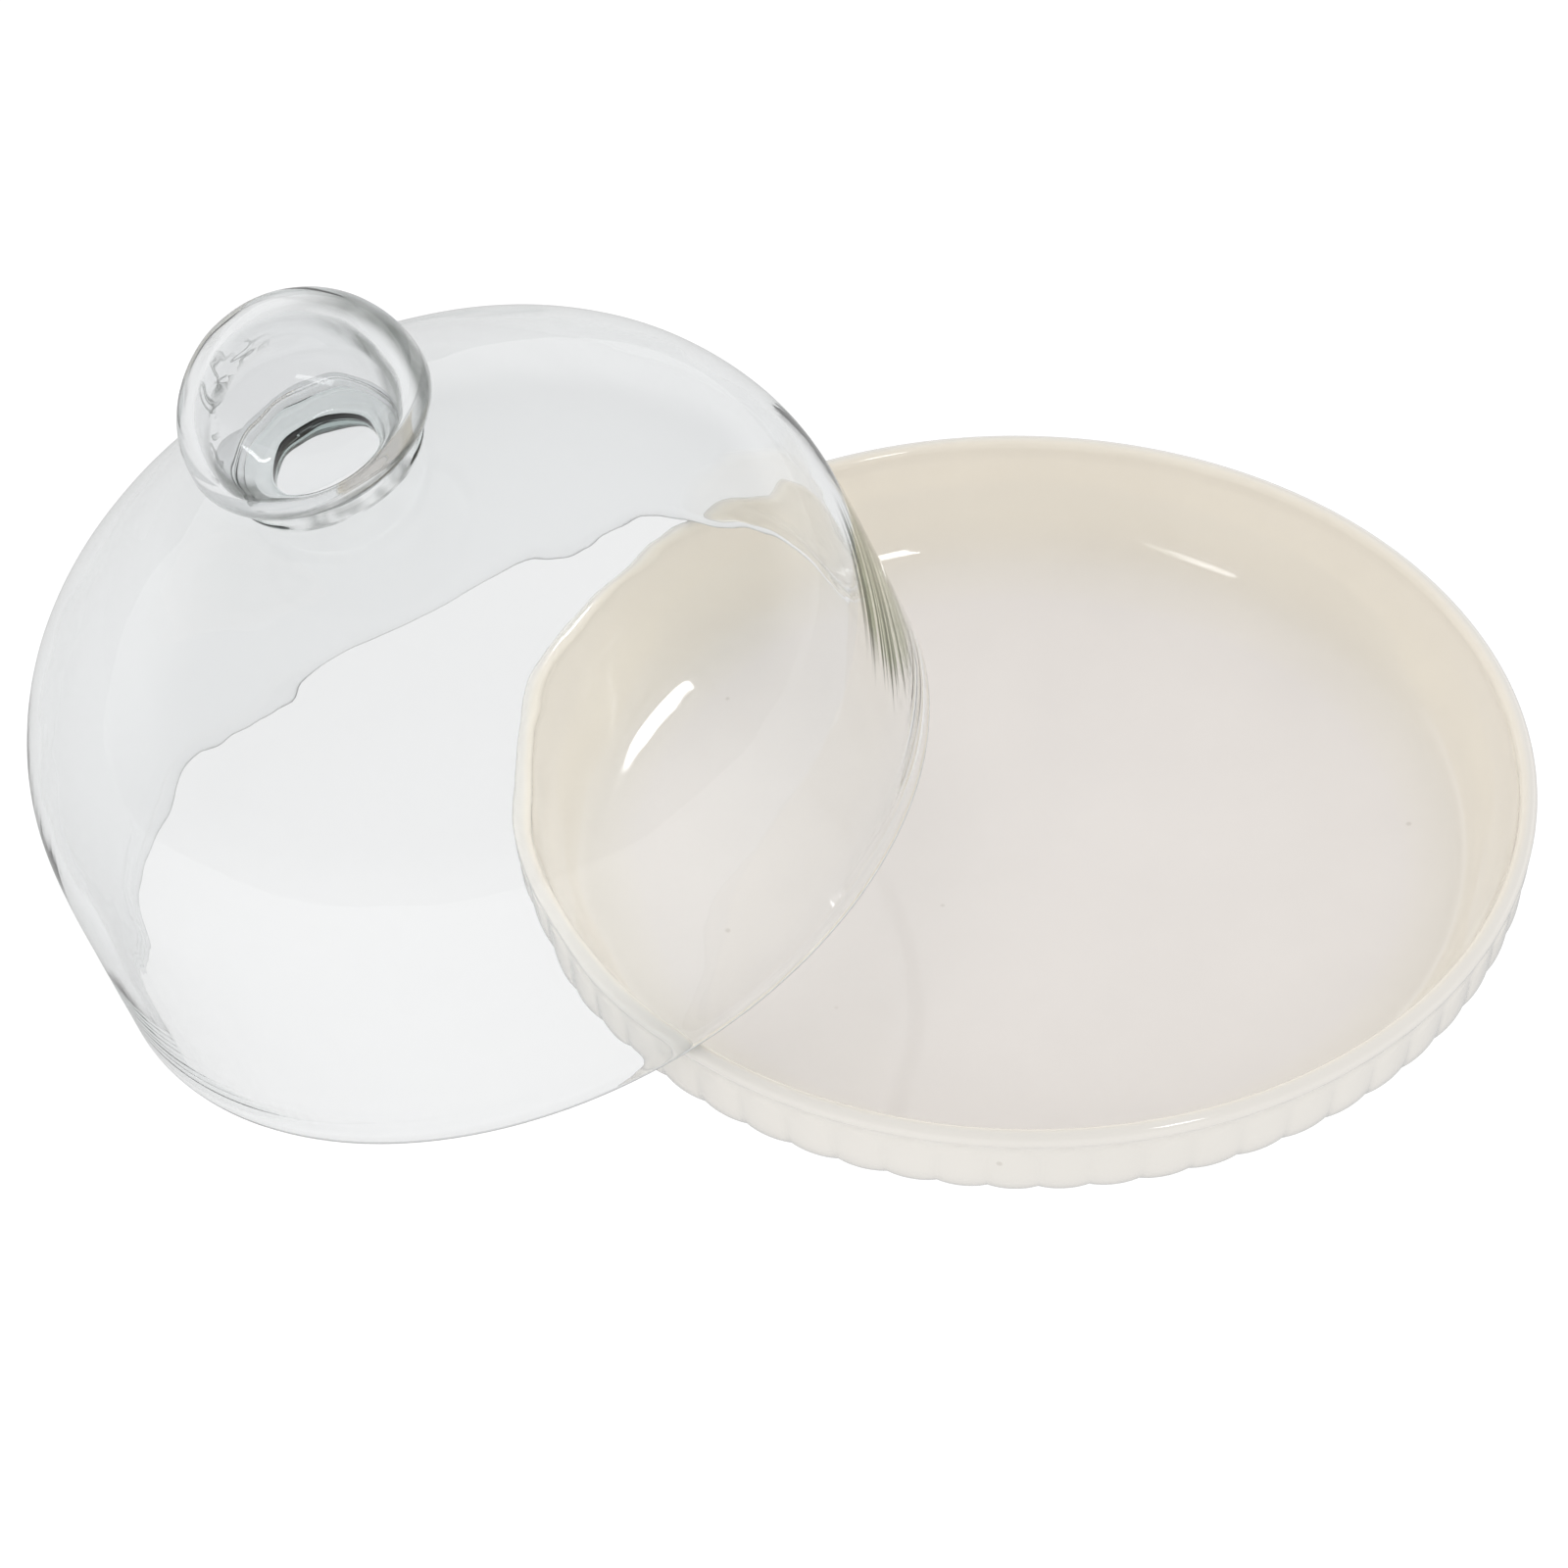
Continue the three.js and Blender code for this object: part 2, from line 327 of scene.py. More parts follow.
def glaze_material():
    m, nt = new_material("ivory_glaze")
    L = nt.links.new
    out = add(nt, "ShaderNodeOutputMaterial")
    bsdf = add(nt, "ShaderNodeBsdfPrincipled")
    bsdf.inputs["IOR"].default_value = 1.5
    bsdf.inputs["Coat Weight"].default_value = 0.9
    bsdf.inputs["Coat Roughness"].default_value = 0.03
    L(bsdf.outputs["BSDF"], out.inputs["Surface"])
    geo = add(nt, "ShaderNodeTexCoord")
    # distance from the dish axis: warmer glaze on the wall, cooler on the floor; the wall's warmth is partly a thicker
    # glaze, partly painted warm bounce light between the walls
    sep = add(nt, "ShaderNodeSeparateXYZ")
    L(geo.outputs["Object"], sep.inputs[0])
    dx = add(nt, "ShaderNodeMath", operation="SUBTRACT")
    dx.inputs[1].default_value = AXIS_X * MM
    L(sep.outputs["X"], dx.inputs[0])
    flat = add(nt, "ShaderNodeCombineXYZ")
    L(dx.outputs[0], flat.inputs["X"])
    L(sep.outputs["Y"], flat.inputs["Y"])
    rad = add(nt, "ShaderNodeVectorMath", operation="LENGTH")
    L(flat.outputs[0], rad.inputs[0])
    zone = add(nt, "ShaderNodeMapRange")
    zone.inputs["From Min"].default_value = 0.076
    zone.inputs["From Max"].default_value = 0.093
    L(rad.outputs["Value"], zone.inputs["Value"])
    wall_glaze_and_bounce = ramp(nt, [(0.0, (0.808, 0.768, 0.735)), (1.0, (0.875, 0.815, 0.71))])
    L(zone.outputs[0], wall_glaze_and_bounce.inputs[0])
    face = add(nt, "ShaderNodeNewGeometry")
    away = add(nt, "ShaderNodeVectorMath", operation="NORMALIZE")
    L(flat.outputs[0], away.inputs[0])
    outward = add(nt, "ShaderNodeVectorMath", operation="DOT_PRODUCT")
    L(face.outputs["Normal"], outward.inputs[0])
    L(away.outputs[0], outward.inputs[1])
    side = add(nt, "ShaderNodeMapRange", interpolation_type="SMOOTHSTEP")
    side.inputs["From Min"].default_value = -0.75
    side.inputs["From Max"].default_value = 0.35
    L(outward.outputs["Value"], side.inputs["Value"])
    wall = add(nt, "ShaderNodeMath", operation="MULTIPLY")
    L(side.outputs[0], wall.inputs[0])
    L(zone.outputs[0], wall.inputs[1])
    body = add(nt, "ShaderNodeMix", data_type="RGBA")
    L(wall.outputs[0], body.inputs[0])
    L(wall_glaze_and_bounce.outputs[0], body.inputs[6])
    body.inputs[7].default_value = (0.765, 0.737, 0.69, 1)
    # soft clouding of the glaze
    cloud = add(nt, "ShaderNodeTexNoise")
    cloud.inputs["Scale"].default_value = 26.0
    cloud.inputs["Detail"].default_value = 4.0
    L(geo.outputs["Object"], cloud.inputs["Vector"])
    tone = ramp(nt, [(0.3, grey(0.965)), (0.7, grey(1.0))])
    L(cloud.outputs[0], tone.inputs[0])
    mul = add(nt, "ShaderNodeMix", data_type="RGBA", blend_type="MULTIPLY")
    mul.inputs[0].default_value = 1.0
    L(body.outputs[2], mul.inputs[6])
    L(tone.outputs[0], mul.inputs[7])
    # sparse iron specks
    cells = add(nt, "ShaderNodeTexVoronoi", feature="F1")
    cells.inputs["Scale"].default_value = 95.0
    L(geo.outputs["Object"], cells.inputs["Vector"])
    dot = ramp(nt, [(0.0, grey(1.0)), (0.045, grey(0.75)), (0.075, grey(0.0))])
    L(cells.outputs["Distance"], dot.inputs[0])
    pick = add(nt, "ShaderNodeSeparateColor")
    L(cells.outputs["Color"], pick.inputs[0])
    rare = add(nt, "ShaderNodeMath", operation="GREATER_THAN")
    rare.inputs[1].default_value = 0.90
    L(pick.outputs[0], rare.inputs[0])
    speck = add(nt, "ShaderNodeMath", operation="MULTIPLY")
    L(dot.outputs[0], speck.inputs[0])
    L(rare.outputs[0], speck.inputs[1])
    soft = add(nt, "ShaderNodeMath", operation="MULTIPLY")
    soft.inputs[1].default_value = 0.28
    L(speck.outputs[0], soft.inputs[0])
    spot = add(nt, "ShaderNodeMix", data_type="RGBA")
    L(soft.outputs[0], spot.inputs[0])
    L(mul.outputs[2], spot.inputs[6])
    spot.inputs[7].default_value = (0.30, 0.25, 0.19, 1)
    L(spot.outputs[2], bsdf.inputs["Base Color"])
    # fine differences of gloss
    gloss = add(nt, "ShaderNodeTexNoise")
    gloss.inputs["Scale"].default_value = 60.0
    gloss.inputs["Detail"].default_value = 5.0
    L(geo.outputs["Object"], gloss.inputs["Vector"])
    rough = ramp(nt, [(0.3, grey(0.06)), (0.75, grey(0.11))])
    L(gloss.outputs[0], rough.inputs[0])
    L(rough.outputs[0], bsdf.inputs["Roughness"])
    # the glaze surface is never quite flat
    wave = add(nt, "ShaderNodeTexNoise")
    wave.inputs["Scale"].default_value = 34.0
    wave.inputs["Detail"].default_value = 3.0
    L(geo.outputs["Object"], wave.inputs["Vector"])
    peel = add(nt, "ShaderNodeTexNoise")
    peel.inputs["Scale"].default_value = 420.0
    peel.inputs["Detail"].default_value = 2.0
    L(geo.outputs["Object"], peel.inputs["Vector"])
    b1 = add(nt, "ShaderNodeBump")
    b1.inputs["Strength"].default_value = 0.09
    b1.inputs["Distance"].default_value = 0.0006
    L(wave.outputs[0], b1.inputs["Height"])
    b2 = add(nt, "ShaderNodeBump")
    b2.inputs["Strength"].default_value = 0.05
    b2.inputs["Distance"].default_value = 0.00008
    L(peel.outputs[0], b2.inputs["Height"])
    L(b1.outputs[0], b2.inputs["Normal"])
    L(b2.outputs[0], bsdf.inputs["Normal"])
    return m


def glass_material():
    m, nt = new_material("blown_glass")
    L = nt.links.new
    out = add(nt, "ShaderNodeOutputMaterial")
    bsdf = add(nt, "ShaderNodeBsdfPrincipled")
    bsdf.inputs["Base Color"].default_value = (1.0, 1.0, 1.0, 1.0)
    bsdf.inputs["IOR"].default_value = 1.51
    bsdf.inputs["Transmission Weight"].default_value = 1.0
    tex = add(nt, "ShaderNodeTexCoord")
    haze = add(nt, "ShaderNodeTexNoise")
    haze.inputs["Scale"].default_value = 22.0
    haze.inputs["Detail"].default_value = 5.0
    L(tex.outputs["Object"], haze.inputs["Vector"])
    rough = ramp(nt, [(0.35, grey(0.0)), (0.8, grey(0.018))])
    L(haze.outputs[0], rough.inputs[0])
    L(rough.outputs[0], bsdf.inputs["Roughness"])
    wave = add(nt, "ShaderNodeTexNoise")
    wave.inputs["Scale"].default_value = 70.0
    wave.inputs["Detail"].default_value = 2.0
    L(tex.outputs["Object"], wave.inputs["Vector"])
    bump = add(nt, "ShaderNodeBump")
    bump.inputs["Strength"].default_value = 0.06
    bump.inputs["Distance"].default_value = 0.0003
    L(wave.outputs[0], bump.inputs["Height"])
    # drawn lines down the shoulder and wall, in the dome's own coordinates
    own = add(nt, "ShaderNodeMapping", vector_type="TEXTURE")
    own.inputs["Location"].default_value = DOME_POS * MM
    own.inputs["Rotation"].default_value = DOME_ROT.to_euler("XYZ")
    L(tex.outputs["Object"], own.inputs["Vector"])
    axes = add(nt, "ShaderNodeSeparateXYZ")
    L(own.outputs[0], axes.inputs[0])
    flat = add(nt, "ShaderNodeCombineXYZ")
    L(axes.outputs["X"], flat.inputs["X"])
    L(axes.outputs["Y"], flat.inputs["Y"])
    spoke = add(nt, "ShaderNodeVectorMath", operation="NORMALIZE")
    L(flat.outputs[0], spoke.inputs[0])
    wide = add(nt, "ShaderNodeVectorMath", operation="SCALE")
    wide.inputs["Scale"].default_value = 24.0
    L(spoke.outputs[0], wide.inputs[0])
    along = add(nt, "ShaderNodeMath", operation="MULTIPLY")
    along.inputs[1].default_value = 14.0
    L(axes.outputs["Z"], along.inputs[0])
    rise = add(nt, "ShaderNodeCombineXYZ")
    L(along.outputs[0], rise.inputs["Z"])
    where = add(nt, "ShaderNodeVectorMath", operation="ADD")
    L(wide.outputs[0], where.inputs[0])
    L(rise.outputs[0], where.inputs[1])
    lines = add(nt, "ShaderNodeTexNoise")
    lines.inputs["Scale"].default_value = 1.0
    lines.inputs["Detail"].default_value = 1.5
    L(where.outputs[0], lines.inputs["Vector"])
    reach = add(nt, "ShaderNodeVectorMath", operation="LENGTH")
    L(flat.outputs[0], reach.inputs[0])
    fade = add(nt, "ShaderNodeMapRange", interpolation_type="SMOOTHSTEP")
    fade.inputs["From Min"].default_value = 0.074
    fade.inputs["From Max"].default_value = 0.087
    L(reach.outputs["Value"], fade.inputs["Value"])
    turn = add(nt, "ShaderNodeSeparateXYZ")
    L(spoke.outputs[0], turn.inputs[0])
    more = add(nt, "ShaderNodeMapRange", interpolation_type="SMOOTHSTEP")
    more.inputs["From Min"].default_value = -0.2
    more.inputs["From Max"].default_value = 0.85
    more.inputs["To Min"].default_value = 0.32
    more.inputs["To Max"].default_value = 0.22
    L(turn.outputs["X"], more.inputs["Value"])
    some = add(nt, "ShaderNodeMath", operation="MULTIPLY")
    L(fade.outputs[0], some.inputs[0])
    L(more.outputs[0], some.inputs[1])
    ribs = add(nt, "ShaderNodeMath", operation="MULTIPLY")
    L(lines.outputs[0], ribs.inputs[0])
    L(some.outputs[0], ribs.inputs[1])
    drawn = add(nt, "ShaderNodeBump")
    drawn.inputs["Strength"].default_value = 1.0
    drawn.inputs["Distance"].default_value = 0.00006
    L(ribs.outputs[0], drawn.inputs["Height"])
    L(bump.outputs[0], drawn.inputs["Normal"])
    L(drawn.outputs[0], bsdf.inputs["Normal"])
    # painted shade: where the glass is seen edge-on it is painted darker and greener, for the dark surround it
    # reflects: a crescent on the knob's right and lower limb, and lines down one flank of the bell
    rim = add(nt, "ShaderNodeLayerWeight")
    rim.inputs["Blend"].default_value = 0.5
    edge = add(nt, "ShaderNodeMapRange", interpolation_type="SMOOTHSTEP")
    edge.inputs["From Min"].default_value = 0.38
    edge.inputs["From Max"].default_value = 0.54
    L(rim.outputs["Facing"], edge.inputs["Value"])
    # painted dark refraction: a patch of dark green lines painted on one flank where it is seen edge-on, an oval in
    # angle and height; the lines stand for cords drawn in the glass, their darkness is painted
    steep = add(nt, "ShaderNodeMapRange", interpolation_type="SMOOTHSTEP")
    steep.inputs["From Min"].default_value = 0.5
    steep.inputs["From Max"].default_value = 0.68
    L(rim.outputs["Facing"], steep.inputs["Value"])
    across = add(nt, "ShaderNodeMath", operation="MULTIPLY_ADD")
    across.inputs[1].default_value = 1.0 / 0.235
    across.inputs[2].default_value = -0.062 / 0.235
    L(turn.outputs["Y"], across.inputs[0])
    upward = add(nt, "ShaderNodeMath", operation="MULTIPLY_ADD")
    upward.inputs[1].default_value = 1.0 / 0.0178
    upward.inputs[2].default_value = -0.0285 / 0.0178
    L(axes.outputs["Z"], upward.inputs[0])
    oval = add(nt, "ShaderNodeCombineXYZ")
    L(across.outputs[0], oval.inputs["X"])
    L(upward.outputs[0], oval.inputs["Y"])
    span = add(nt, "ShaderNodeVectorMath", operation="LENGTH")
    L(oval.outputs[0], span.inputs[0])
    flank = add(nt, "ShaderNodeMath", operation="GREATER_THAN")
    flank.inputs[1].default_value = 0.5
    L(turn.outputs["X"], flank.inputs[0])
    slant = add(nt, "ShaderNodeMath", operation="MULTIPLY_ADD")
    slant.inputs[1].default_value = -1.6
    L(upward.outputs[0], slant.inputs[0])
    slope = add(nt, "ShaderNodeMath", operation="MULTIPLY")
    slope.inputs[1].default_value = 1.25
    L(across.outputs[0], slope.inputs[0])
    L(slope.outputs[0], slant.inputs[2])
    thread = add(nt, "ShaderNodeCombineXYZ")
    L(slant.outputs[0], thread.inputs["X"])
    L(axes.outputs["Z"], thread.inputs["Y"])
    strands = add(nt, "ShaderNodeTexNoise")
    strands.inputs["Scale"].default_value = 5.2
    strands.inputs["Detail"].default_value = 2.0
    L(thread.outputs[0], strands.inputs["Vector"])
    painted_dark_streaks = ramp(nt, [(0.43, (0.66, 0.70, 0.57)), (0.50, (0.20, 0.25, 0.14)), (0.57, (0.015, 0.022, 0.010))])
    L(strands.outputs[0], painted_dark_streaks.inputs[0])
    # the darker lines run out past the oval, so it has no clean edge
    frayed = add(nt, "ShaderNodeMath", operation="MULTIPLY_ADD")
    frayed.inputs[1].default_value = -1.7
    frayed.inputs[2].default_value = 0.85
    L(strands.outputs[0], frayed.inputs[0])
    ragged = add(nt, "ShaderNodeMath", operation="ADD")
    L(span.outputs["Value"], ragged.inputs[0])
    L(frayed.outputs[0], ragged.inputs[1])
    patch = add(nt, "ShaderNodeMapRange", interpolation_type="SMOOTHSTEP")
    patch.inputs["From Min"].default_value = 1.10
    patch.inputs["From Max"].default_value = 0.70
    L(ragged.outputs[0], patch.inputs["Value"])
    lined = add(nt, "ShaderNodeMath", operation="MULTIPLY")
    L(flank.outputs[0], lined.inputs[0])
    L(patch.outputs[0], lined.inputs[1])
    bell_painted_streaks = add(nt, "ShaderNodeMath", operation="MULTIPLY")
    L(lined.outputs[0], bell_painted_streaks.inputs[0])
    L(steep.outputs[0], bell_painted_streaks.inputs[1])
    # painted shade on the knob: its right and lower side, painted dark green where seen edge-on
    knob_right = add(nt, "ShaderNodeMapRange", interpolation_type="SMOOTHSTEP")
    knob_right.inputs["From Min"].default_value = 0.003
    knob_right.inputs["From Max"].default_value = 0.016
    L(axes.outputs["X"], knob_right.inputs["Value"])
    knob_low = add(nt, "ShaderNodeMapRange", interpolation_type="SMOOTHSTEP")
    knob_low.inputs["From Min"].default_value = 0.1175
    knob_low.inputs["From Max"].default_value = 0.1085
    L(axes.outputs["Z"], knob_low.inputs["Value"])
    knob_part = add(nt, "ShaderNodeMath", operation="MAXIMUM")
    L(knob_right.outputs[0], knob_part.inputs[0])
    L(knob_low.outputs[0], knob_part.inputs[1])
    up_there = add(nt, "ShaderNodeMath", operation="GREATER_THAN")
    up_there.inputs[1].default_value = 0.1045
    L(axes.outputs["Z"], up_there.inputs[0])
    knob_side_painted_shade = add(nt, "ShaderNodeMath", operation="MULTIPLY")
    L(knob_part.outputs[0], knob_side_painted_shade.inputs[0])
    L(up_there.outputs[0], knob_side_painted_shade.inputs[1])
    knob_edge_painted_shade = add(nt, "ShaderNodeMath", operation="MULTIPLY")
    L(edge.outputs[0], knob_edge_painted_shade.inputs[0])
    L(knob_side_painted_shade.outputs[0], knob_edge_painted_shade.inputs[1])
    outline = add(nt, "ShaderNodeMapRange", interpolation_type="SMOOTHSTEP")
    outline.inputs["From Min"].default_value = 0.70
    outline.inputs["From Max"].default_value = 0.92
    outline.inputs["To Min"].default_value = 0.93
    outline.inputs["To Max"].default_value = 0.55
    L(rim.outputs["Facing"], outline.inputs["Value"])
    cords = add(nt, "ShaderNodeTexNoise")
    cords.inputs["Scale"].default_value = 55.0
    cords.inputs["Detail"].default_value = 3.0
    cords.inputs["Distortion"].default_value = 1.2
    L(own.outputs[0], cords.inputs["Vector"])
    uneven = ramp(nt, [(0.34, grey(0.62)), (0.58, grey(1.0))])
    L(cords.outputs[0], uneven.inputs[0])
    limb_part = add(nt, "ShaderNodeMath", operation="MULTIPLY")
    L(outline.outputs[0], limb_part.inputs[0])
    L(uneven.outputs[0], limb_part.inputs[1])
    # the painted shade crescent on the knob's limb
    painted_shade_crescent = add(nt, "ShaderNodeMath", operation="MULTIPLY")
    L(knob_edge_painted_shade.outputs[0], painted_shade_crescent.inputs[0])
    L(limb_part.outputs[0], painted_shade_crescent.inputs[1])
    # a few dark cords in the glass on the other side of the knob, shown only in a band of edge-on angles: real cords,
    # their darkness partly painted dark reflection
    band_in = add(nt, "ShaderNodeMapRange", interpolation_type="SMOOTHSTEP")
    band_in.inputs["From Min"].default_value = 0.26
    band_in.inputs["From Max"].default_value = 0.34
    L(rim.outputs["Facing"], band_in.inputs["Value"])
    band_out = add(nt, "ShaderNodeMapRange", interpolation_type="SMOOTHSTEP")
    band_out.inputs["From Min"].default_value = 0.52
    band_out.inputs["From Max"].default_value = 0.43
    L(rim.outputs["Facing"], band_out.inputs["Value"])
    band = add(nt, "ShaderNodeMath", operation="MULTIPLY")
    L(band_in.outputs[0], band.inputs[0])
    L(band_out.outputs[0], band.inputs[1])
    knob_left = add(nt, "ShaderNodeMapRange", interpolation_type="SMOOTHSTEP")
    knob_left.inputs["From Min"].default_value = -0.003
    knob_left.inputs["From Max"].default_value = -0.011
    L(axes.outputs["X"], knob_left.inputs["Value"])
    threads = add(nt, "ShaderNodeTexNoise")
    threads.inputs["Scale"].default_value = 120.0
    threads.inputs["Detail"].default_value = 2.0
    threads.inputs["Distortion"].default_value = 0.8
    L(own.outputs[0], threads.inputs["Vector"])
    few = ramp(nt, [(0.50, grey(0.0)), (0.525, grey(0.85)), (0.55, grey(0.35)), (0.575, grey(0.85)), (0.61, grey(0.0))])
    L(threads.outputs[0], few.inputs[0])
    there = add(nt, "ShaderNodeMath", operation="MULTIPLY")
    L(knob_left.outputs[0], there.inputs[0])
    L(up_there.outputs[0], there.inputs[1])
    marked = add(nt, "ShaderNodeMath", operation="MULTIPLY")
    L(there.outputs[0], marked.inputs[0])
    L(band.outputs[0], marked.inputs[1])
    cords_painted_dark = add(nt, "ShaderNodeMath", operation="MULTIPLY")
    L(marked.outputs[0], cords_painted_dark.inputs[0])
    L(few.outputs[0], cords_painted_dark.inputs[1])
    # the knob's painted shade crescent and its cords with painted dark reflection
    knob_painted_dark = add(nt, "ShaderNodeMath", operation="MAXIMUM")
    L(painted_shade_crescent.outputs[0], knob_painted_dark.inputs[0])
    L(cords_painted_dark.outputs[0], knob_painted_dark.inputs[1])
    # painted shade: dark streaks painted on the collar under the ball, standing for the shadow and dark reflections in
    # the waist
    neck = add(nt, "ShaderNodeMapRange", interpolation_type="SMOOTHSTEP")
    neck.inputs["From Min"].default_value = 0.0171
    neck.inputs["From Max"].default_value = 0.0180
    L(reach.outputs["Value"], neck.inputs["Value"])
    above = add(nt, "ShaderNodeMath", operation="GREATER_THAN")
    above.inputs[1].default_value = 0.1017
    L(axes.outputs["Z"], above.inputs[0])
    below = add(nt, "ShaderNodeMath", operation="LESS_THAN")
    below.inputs[1].default_value = 0.1056
    L(axes.outputs["Z"], below.inputs[0])
    collar_zone = add(nt, "ShaderNodeMath", operation="MULTIPLY")
    L(above.outputs[0], collar_zone.inputs[0])
    L(below.outputs[0], collar_zone.inputs[1])
    collar_ring = add(nt, "ShaderNodeMath", operation="MULTIPLY")
    L(collar_zone.outputs[0], collar_ring.inputs[0])
    L(neck.outputs[0], collar_ring.inputs[1])
    collar_shade_noise = add(nt, "ShaderNodeTexNoise")
    collar_shade_noise.inputs["Scale"].default_value = 120.0
    collar_shade_noise.inputs["Detail"].default_value = 2.0
    L(own.outputs[0], collar_shade_noise.inputs["Vector"])
    collar_shade_streaks = ramp(nt, [(0.43, grey(0.04)), (0.6, grey(0.74))])
    L(collar_shade_noise.outputs[0], collar_shade_streaks.inputs[0])
    # painted mostly on the near side, the side toward the camera
    sided = add(nt, "ShaderNodeMapRange", interpolation_type="SMOOTHSTEP")
    sided.inputs["From Min"].default_value = -0.1
    sided.inputs["From Max"].default_value = 0.4
    sided.inputs["To Min"].default_value = 1.0
    sided.inputs["To Max"].default_value = 0.08
    L(turn.outputs["Y"], sided.inputs["Value"])
    collar_shade_near = add(nt, "ShaderNodeMath", operation="MULTIPLY")
    L(collar_shade_streaks.outputs[0], collar_shade_near.inputs[0])
    L(sided.outputs[0], collar_shade_near.inputs[1])
    collar_painted_shade = add(nt, "ShaderNodeMath", operation="MULTIPLY")
    L(collar_ring.outputs[0], collar_painted_shade.inputs[0])
    L(collar_shade_near.outputs[0], collar_painted_shade.inputs[1])
    # all the painted dark glass: the collar's painted shade, the knob's painted crescent and its painted dark cords
    all_painted_dark = add(nt, "ShaderNodeMath", operation="MAXIMUM")
    L(collar_painted_shade.outputs[0], all_painted_dark.inputs[0])
    L(knob_painted_dark.outputs[0], all_painted_dark.inputs[1])
    # glass tint, mixed toward dark green where shade and dark reflections are painted
    tint = add(nt, "ShaderNodeMix", data_type="RGBA")
    plain = add(nt, "ShaderNodeMix", data_type="RGBA")
    plain.inputs[6].default_value = (0.955, 0.958, 0.962, 1)
    plain.inputs[7].default_value = (0.925, 0.929, 0.936, 1)
    L(up_there.outputs[0], plain.inputs[0])
    L(plain.outputs[2], tint.inputs[6])
    tint.inputs[7].default_value = (0.014, 0.024, 0.012, 1)
    L(all_painted_dark.outputs[0], tint.inputs[0])
    # the painted dark streaks of the flank laid over the glass colour
    glass_with_painted_streaks = add(nt, "ShaderNodeMix", data_type="RGBA")
    L(bell_painted_streaks.outputs[0], glass_with_painted_streaks.inputs[0])
    L(tint.outputs[2], glass_with_painted_streaks.inputs[6])
    L(painted_dark_streaks.outputs[0], glass_with_painted_streaks.inputs[7])
    L(glass_with_painted_streaks.outputs[2], bsdf.inputs["Base Color"])
    # lamps reach what is under the glass
    path = add(nt, "ShaderNodeLightPath")
    clear = add(nt, "ShaderNodeBsdfTransparent")
    clear.inputs["Color"].default_value = (0.965, 0.975, 0.97, 1)
    mix = add(nt, "ShaderNodeMixShader")
    L(path.outputs["Is Shadow Ray"], mix.inputs[0])
    L(bsdf.outputs["BSDF"], mix.inputs[1])
    L(clear.outputs[0], mix.inputs[2])
    L(mix.outputs[0], out.inputs["Surface"])
    absorb = add(nt, "ShaderNodeVolumeAbsorption")
    absorb.inputs["Color"].default_value = (0.575, 0.66, 0.645, 1)
    absorb.inputs["Density"].default_value = 13.0
    L(absorb.outputs[0], out.inputs["Volume"])
    return m


def floor_material():
    m, nt = new_material("studio_white")
    out = add(nt, "ShaderNodeOutputMaterial")
    bsdf = add(nt, "ShaderNodeBsdfPrincipled")
    bsdf.inputs["Base Color"].default_value = (0.08, 0.08, 0.08, 1)
    bsdf.inputs["Roughness"].default_value = 0.9
    bsdf.inputs["Specular IOR Level"].default_value = 0.0
    bsdf.inputs["Emission Color"].default_value = (1, 1, 1, 1)
    # white to the eye, a little less bright behind glass, dim in mirror images
    path = add(nt, "ShaderNodeLightPath")
    seen = add(nt, "ShaderNodeMix", data_type="FLOAT")
    seen.inputs["A"].default_value = FLOOR_THROUGH
    seen.inputs["B"].default_value = FLOOR_GLOW
    nt.links.new(path.outputs["Is Camera Ray"], seen.inputs["Factor"])
    mirror = add(nt, "ShaderNodeMix", data_type="FLOAT")
    mirror.inputs["B"].default_value = FLOOR_MIRROR
    nt.links.new(path.outputs["Is Reflection Ray"], mirror.inputs["Factor"])
    nt.links.new(seen.outputs[0], mirror.inputs["A"])
    matt = add(nt, "ShaderNodeMath", operation="GREATER_THAN")
    matt.inputs[1].default_value = 0.5
    nt.links.new(path.outputs["Diffuse Depth"], matt.inputs[0])
    level = add(nt, "ShaderNodeMix", data_type="FLOAT")
    level.inputs["B"].default_value = FLOOR_FILL
    nt.links.new(matt.outputs[0], level.inputs["Factor"])
    nt.links.new(mirror.outputs[0], level.inputs["A"])
    nt.links.new(level.outputs[0], bsdf.inputs["Emission Strength"])
    nt.links.new(bsdf.outputs[0], out.inputs["Surface"])
    return m


# ---------------------------------------------------------------------- pieces
FLOOR_GLOW, FLOOR_THROUGH, FLOOR_MIRROR, FLOOR_FILL = 1.0, 0.88, 0.5, 1.12
SKY_FILL, SKY_UNDER, SKY_AHEAD, SKY_FRONT, SKY_LOW, SKY_BACK = 1.1, 1.92, 0.45, 0.2, 0.9, 0.35
dish = build_dish()
dish.data.materials.append(glaze_material())
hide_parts("dish")
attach(dish, "dish")

glass = build_glass()
glass.data.materials.append(glass_material())
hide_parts("dome_bell", "ball_knob")
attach(glass, "dome")

# ----------------------------------------------------------------------- stage
me = bpy.data.meshes.new("floor")
S = 12.0
me.from_pydata([(-S, -S, -0.0003), (S, -S, -0.0003), (S, S, -0.0003), (-S, S, -0.0003)], [], [(0, 1, 2, 3)])
floor = bpy.data.objects.new("floor", me)
bpy.context.scene.collection.objects.link(floor)
me.materials.append(floor_material())

